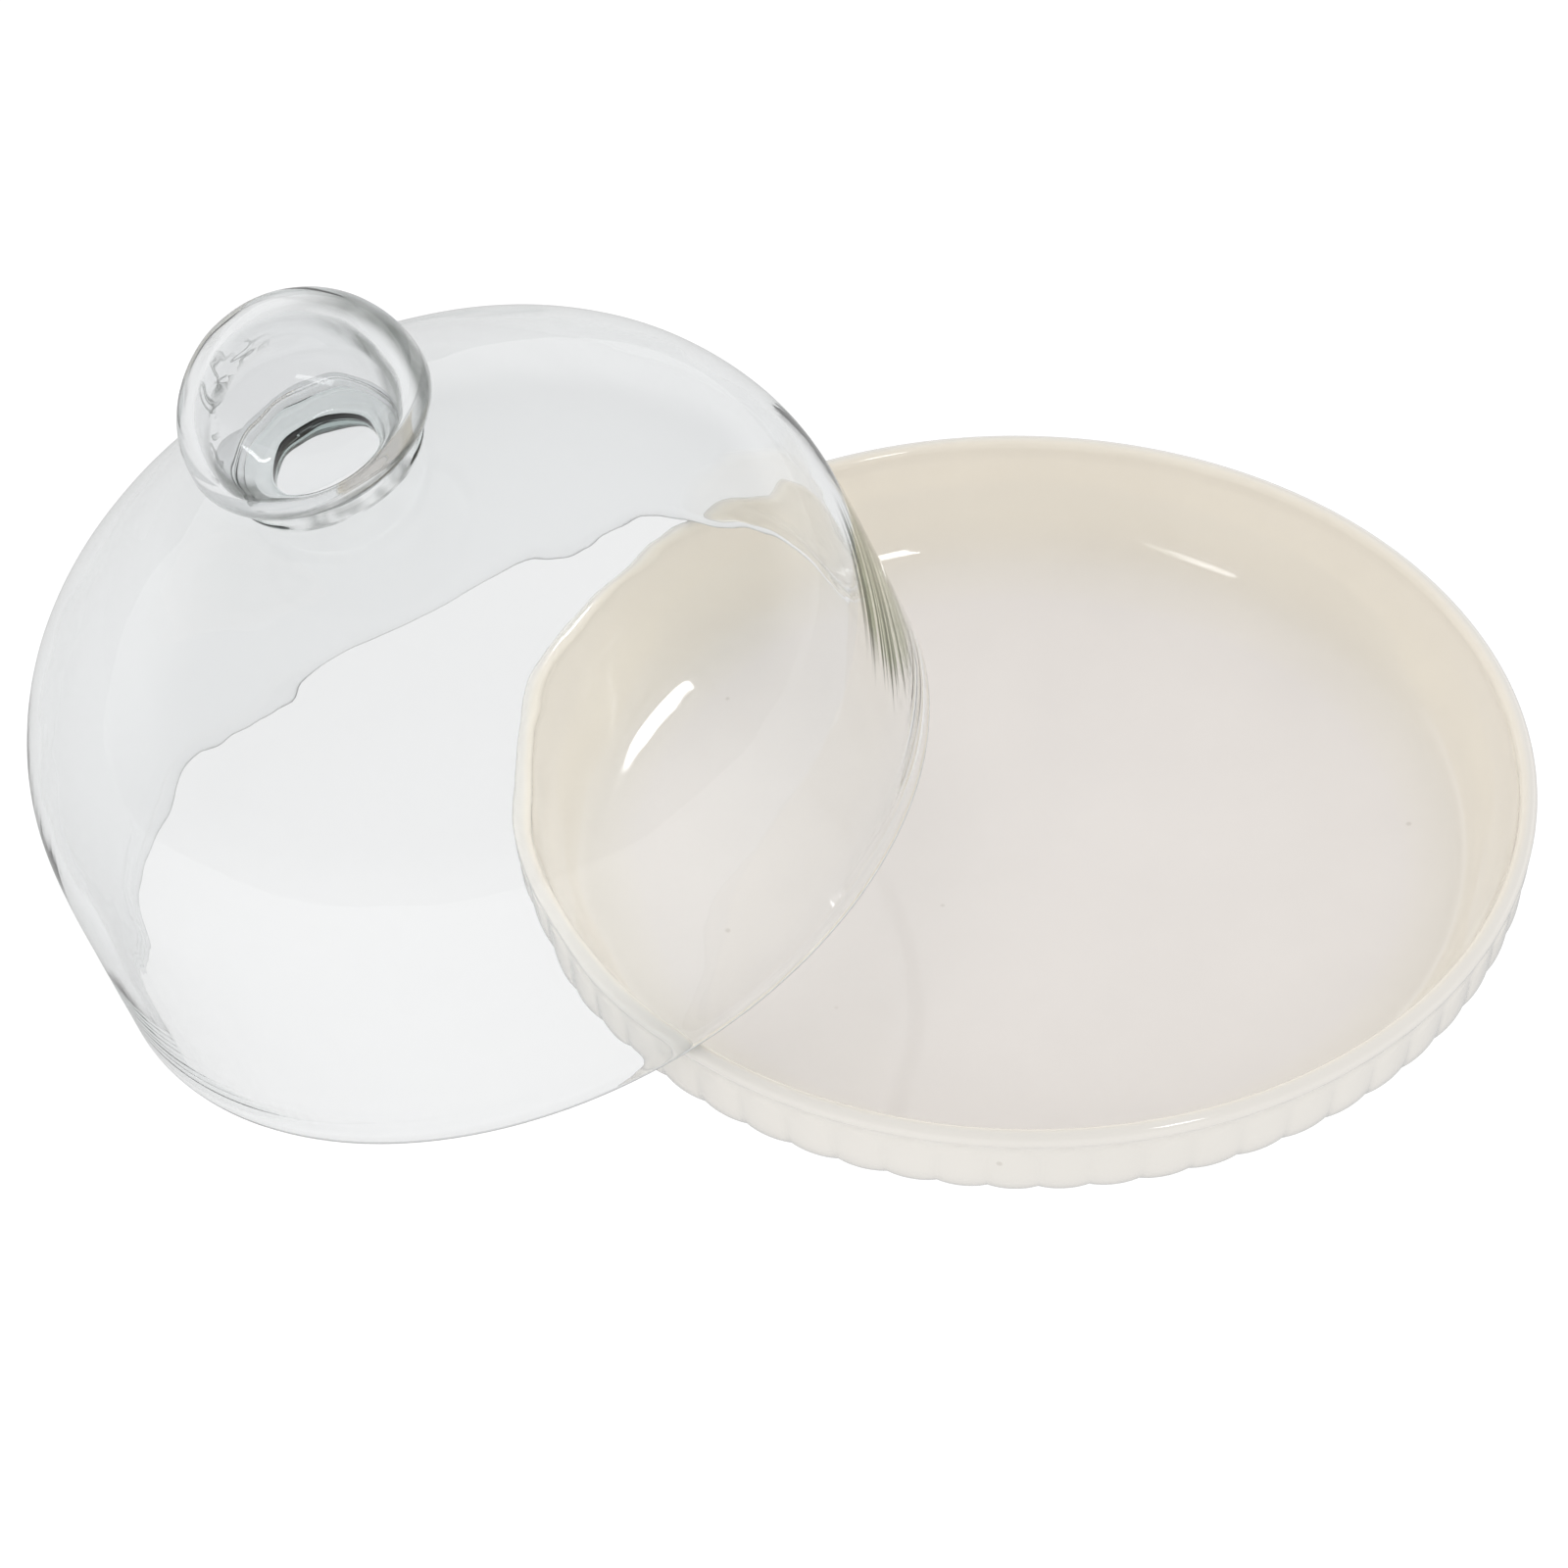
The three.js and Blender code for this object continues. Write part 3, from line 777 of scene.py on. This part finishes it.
sc = bpy.context.scene
world = bpy.data.worlds.new("studio")
sc.world = world
world.use_nodes = True
wt = world.node_tree
sky = wt.nodes["Background"]
sky.inputs["Color"].default_value = (1.0, 1.0, 1.0, 1)
toward = add(wt, "ShaderNodeTexCoord")
split = add(wt, "ShaderNodeSeparateXYZ")
wt.links.new(toward.outputs["Generated"], split.inputs[0])
low = add(wt, "ShaderNodeMapRange", interpolation_type="SMOOTHSTEP")
low.inputs["From Min"].default_value = 0.14
low.inputs["From Max"].default_value = 0.46
low.inputs["To Min"].default_value = SKY_LOW
low.inputs["To Max"].default_value = SKY_BACK
wt.links.new(split.outputs["Z"], low.inputs["Value"])
rear = add(wt, "ShaderNodeMapRange", interpolation_type="SMOOTHSTEP")
rear.inputs["From Min"].default_value = -0.15
rear.inputs["From Max"].default_value = 0.55
wt.links.new(split.outputs["Y"], rear.inputs["Value"])
back = add(wt, "ShaderNodeMix", data_type="FLOAT")
ahead = add(wt, "ShaderNodeMapRange", interpolation_type="SMOOTHSTEP")
ahead.inputs["From Min"].default_value = 0.0
ahead.inputs["From Max"].default_value = 0.5
ahead.inputs["To Min"].default_value = SKY_AHEAD
ahead.inputs["To Max"].default_value = SKY_FRONT
wt.links.new(split.outputs["Z"], ahead.inputs["Value"])
wt.links.new(ahead.outputs[0], back.inputs["A"])
wt.links.new(rear.outputs[0], back.inputs["Factor"])
wt.links.new(low.outputs[0], back.inputs["B"])
trace = add(wt, "ShaderNodeLightPath")
matt = add(wt, "ShaderNodeMath", operation="GREATER_THAN")
matt.inputs[1].default_value = 0.5
wt.links.new(trace.outputs["Diffuse Depth"], matt.inputs[0])
under = add(wt, "ShaderNodeMix", data_type="FLOAT")
under.inputs["A"].default_value = SKY_FILL
under.inputs["B"].default_value = SKY_UNDER
wt.links.new(trace.outputs["Is Transmission Ray"], under.inputs["Factor"])
fill = add(wt, "ShaderNodeMix", data_type="FLOAT")
wt.links.new(matt.outputs[0], fill.inputs["Factor"])
wt.links.new(back.outputs[0], fill.inputs["A"])
wt.links.new(under.outputs[0], fill.inputs["B"])
wt.links.new(fill.outputs[0], sky.inputs["Strength"])
world.cycles.sampling_method = "NONE"


def softbox(name, azimuth, elevation, distance, width, height, power, target=(0.0, 0.0, 0.03), tint=(1, 1, 1)):
    """A rectangular soft light at a compass direction from the object, facing it."""
    data = bpy.data.lights.new(name, "AREA")
    data.shape = "RECTANGLE"
    data.size, data.size_y, data.energy = width, height, power
    data.color = tint
    ob = bpy.data.objects.new(name, data)
    a, e = math.radians(azimuth), math.radians(elevation)
    d = Vector((math.cos(a) * math.cos(e), math.sin(a) * math.cos(e), math.sin(e)))
    ob.location = Vector(target) + d * distance
    ob.rotation_euler = (-d).to_track_quat("-Z", "Y").to_euler()
    bpy.context.scene.collection.objects.link(ob)
    return ob


# The lamps give the glints on the glaze; the surround gives the even light.
def light_only(lamps, receivers, name):
    coll = bpy.data.collections.new(name)
    for r in receivers:
        coll.objects.link(r)
    for lamp in lamps:
        lamp.light_linking.receiver_collection = coll
        lamp.visible_diffuse = False


def past_glass(lamp, depth):
    """The lamp shines only after its light has crossed more than this many glass faces."""
    lamp.data.use_nodes = True
    st = lamp.data.node_tree
    ray = add(st, "ShaderNodeLightPath")
    past = add(st, "ShaderNodeMath", operation="GREATER_THAN")
    past.inputs[1].default_value = depth
    st.links.new(ray.outputs["Transmission Depth"], past.inputs[0])
    once = add(st, "ShaderNodeMath", operation="LESS_THAN")
    once.inputs[1].default_value = 6.5
    st.links.new(ray.outputs["Ray Depth"], once.inputs[0])
    both = add(st, "ShaderNodeMath", operation="MULTIPLY")
    st.links.new(past.outputs[0], both.inputs[0])
    st.links.new(once.outputs[0], both.inputs[1])
    st.links.new(both.outputs[0], st.nodes["Emission"].inputs["Strength"])


front = softbox("front_right", -54, 43, 1.7, 0.22, 0.34, 1.6)
light_only([front], [dish], "lit_dish")
# these only glint on glaze whose mirror image of the lamp is seen through the dome
spot = softbox("back_right", 62, 47.8, 1.7, 0.6, 0.13, 2.2)
spot.data.shape = "ELLIPSE"
past_glass(spot, 2.5)
left = softbox("front_left", -121, 32, 1.7, 1.2, 0.22, 4.6)
past_glass(left, 2.5)
light_only([spot, left], [dish, glass], "lit_past_dome")

# ---------------------------------------------------------------------- camera
cam_data = bpy.data.cameras.new("camera")
cam = bpy.data.objects.new("camera", cam_data)
bpy.context.scene.collection.objects.link(cam)
cam_data.sensor_width = 36.0
cam_data.lens = 9301.8 / 1600.0 * 36.0
cam.location = ((AXIS_X - 47.66) * MM, -1316.26 * MM, 1286.50 * MM)
cam.rotation_euler = (math.radians(90 - 43.488), 0, 0)
cam_data.clip_start, cam_data.clip_end = 0.05, 50
sc.camera = cam

sc.view_settings.view_transform = "Standard"
sc.view_settings.look = "None"
sc.cycles.max_bounces = 24
sc.cycles.transmission_bounces = 24
sc.cycles.glossy_bounces = 8
sc.cycles.transparent_max_bounces = 24

bpy.context.view_layer.update()
